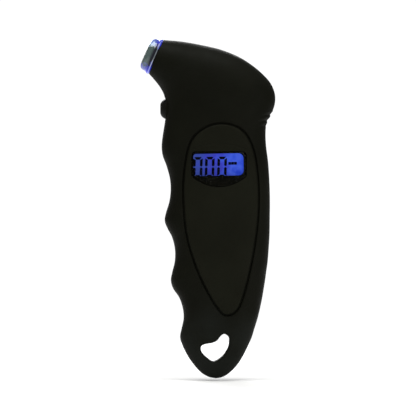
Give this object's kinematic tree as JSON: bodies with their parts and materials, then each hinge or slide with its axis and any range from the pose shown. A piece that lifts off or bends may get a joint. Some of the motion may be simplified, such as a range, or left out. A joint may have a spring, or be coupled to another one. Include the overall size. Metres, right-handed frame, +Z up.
{
  "type": "tire pressure gauge",
  "caption": "Hand-held digital tire pressure gauge: curved pistol-style case with finger grips, lit angled valve nozzle, oval display panel, side button and lanyard hole.",
  "frame": {"origin": "centre of the whole gauge's box, on the plane where the two shells part", "axes": "+Z up the handle towards the head, -Y out of the display face, -X towards the nozzle side"},
  "size_m": [0.0612, 0.028, 0.1547],
  "materials": {
    "soft_black": "soft-touch fine grain",
    "panel_black": "matte, slightly lighter than the case",
    "clear_plastic": "clear moulded acrylic",
    "mask_black": "black print behind the window",
    "lcd_blue": "blue lit display glass with black segments",
    "light_guide": "white diffusing plastic",
    "elastomer": "layered conductive rubber",
    "holder_plastic": "moulded natural plastic",
    "board_green": "green solder mask",
    "chip_black": "epoxy",
    "hose_silicone": "translucent silicone",
    "steel": "plated steel",
    "core_plastic": "dark moulded plastic",
    "seal_rubber": "valve seal rubber",
    "brass": "turned brass",
    "led_blue": "blue light-emitting diode",
    "wire_red": "wire insulation",
    "button_rubber": "soft rubber"
  },
  "bodies": {
    "case": {"front_shell": "soft_black", "back_shell": "soft_black", "face_panel": "panel_black", "display_window": "clear_plastic", "display_mask": "mask_black", "lcd_cell": "lcd_blue", "lcd_backlight": "light_guide", "zebra_strip": "elastomer", "lcd_holder": "holder_plastic", "circuit_board": "board_green", "controller_chip": "chip_black", "pressure_sensor": "chip_black", "sensor_hose": "hose_silicone", "hose_clip_upper": "steel", "hose_clip_lower": "steel", "nozzle_lens": "clear_plastic", "nozzle_core": "core_plastic", "valve_seal": "seal_rubber", "depressor_pin": "brass", "core_o_ring": "seal_rubber", "nozzle_led": "led_blue", "led_cable": "wire_red", "switch_body": "steel", "battery_cell": "steel", "contact_negative": "steel", "contact_positive": "steel", "cover_gasket": "seal_rubber", "case_screw_1": "steel", "case_screw_2": "steel", "case_screw_3": "steel", "case_screw_4": "steel", "case_screw_5": "steel", "board_screw_1": "steel", "board_screw_2": "steel", "board_screw_3": "steel"},
    "button": {"power_button": "button_rubber"},
    "plunger": {"switch_plunger": "core_plastic"},
    "cover": {"battery_cover": "soft_black"}
  },
  "joints": [
    {"name": "button_press", "type": "slide", "parent": "case", "child": "button", "axis": [1, 0, 0], "range_m": [0, 0.0008], "stiffness_N_per_m": 1200, "springref_m": -0.0008},
    {"name": "switch_press", "type": "slide", "parent": "case", "child": "plunger", "axis": [1, 0, 0], "range_m": [0, 0.0008]},
    {"name": "battery_cover_twist", "type": "hinge", "parent": "case", "child": "cover", "pos_m": [0.006, 0.013, -0.022], "axis": [0, 1, 0], "range_deg": [0, 35]}
  ],
  "couplings": [
    {"joint": "switch_press", "follows": "button_press", "ratio": 1}
  ]
}
